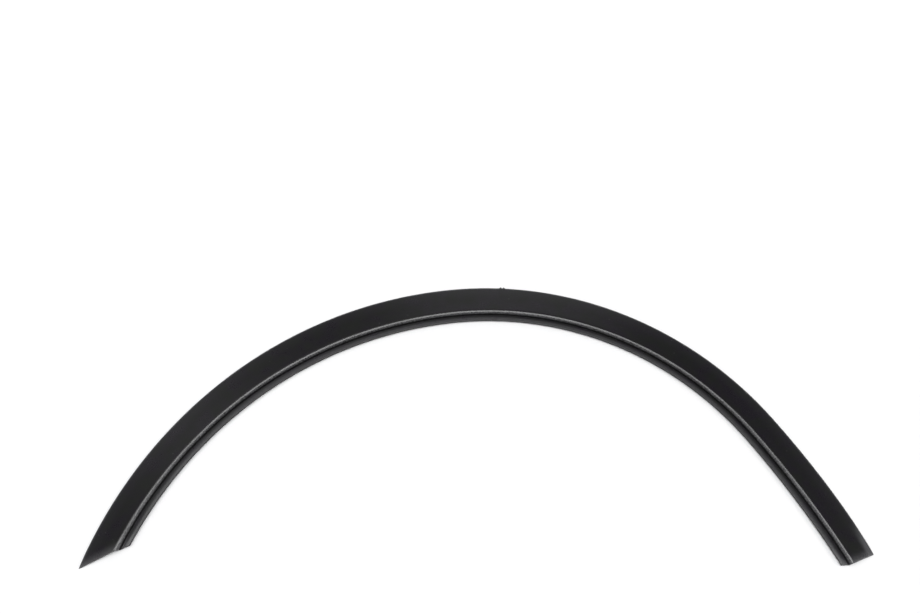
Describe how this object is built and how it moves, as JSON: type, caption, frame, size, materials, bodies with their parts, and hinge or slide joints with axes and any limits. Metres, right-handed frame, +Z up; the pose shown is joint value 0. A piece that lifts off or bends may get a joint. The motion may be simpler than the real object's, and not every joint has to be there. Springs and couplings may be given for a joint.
{
  "type": "wheel arch trim",
  "caption": "Wheel arch trim: a curved strip of black plastic with a wide flange, a raised crease, a groove and a narrow lip, pointed at one end and cut square at the other.",
  "frame": {"origin": "middle of the strip's outline, at the level of the surface that it lies on", "axes": "+Z up through the show face, +X along the chord from the pointed end to the square end, +Y towards the crown of the arch"},
  "size_m": [0.7598, 0.3056, 0.0082],
  "materials": {
    "trim_plastic": "satin black, finely grained"
  },
  "bodies": {
    "root": {"arch_trim": "trim_plastic"}
  },
  "joints": []
}
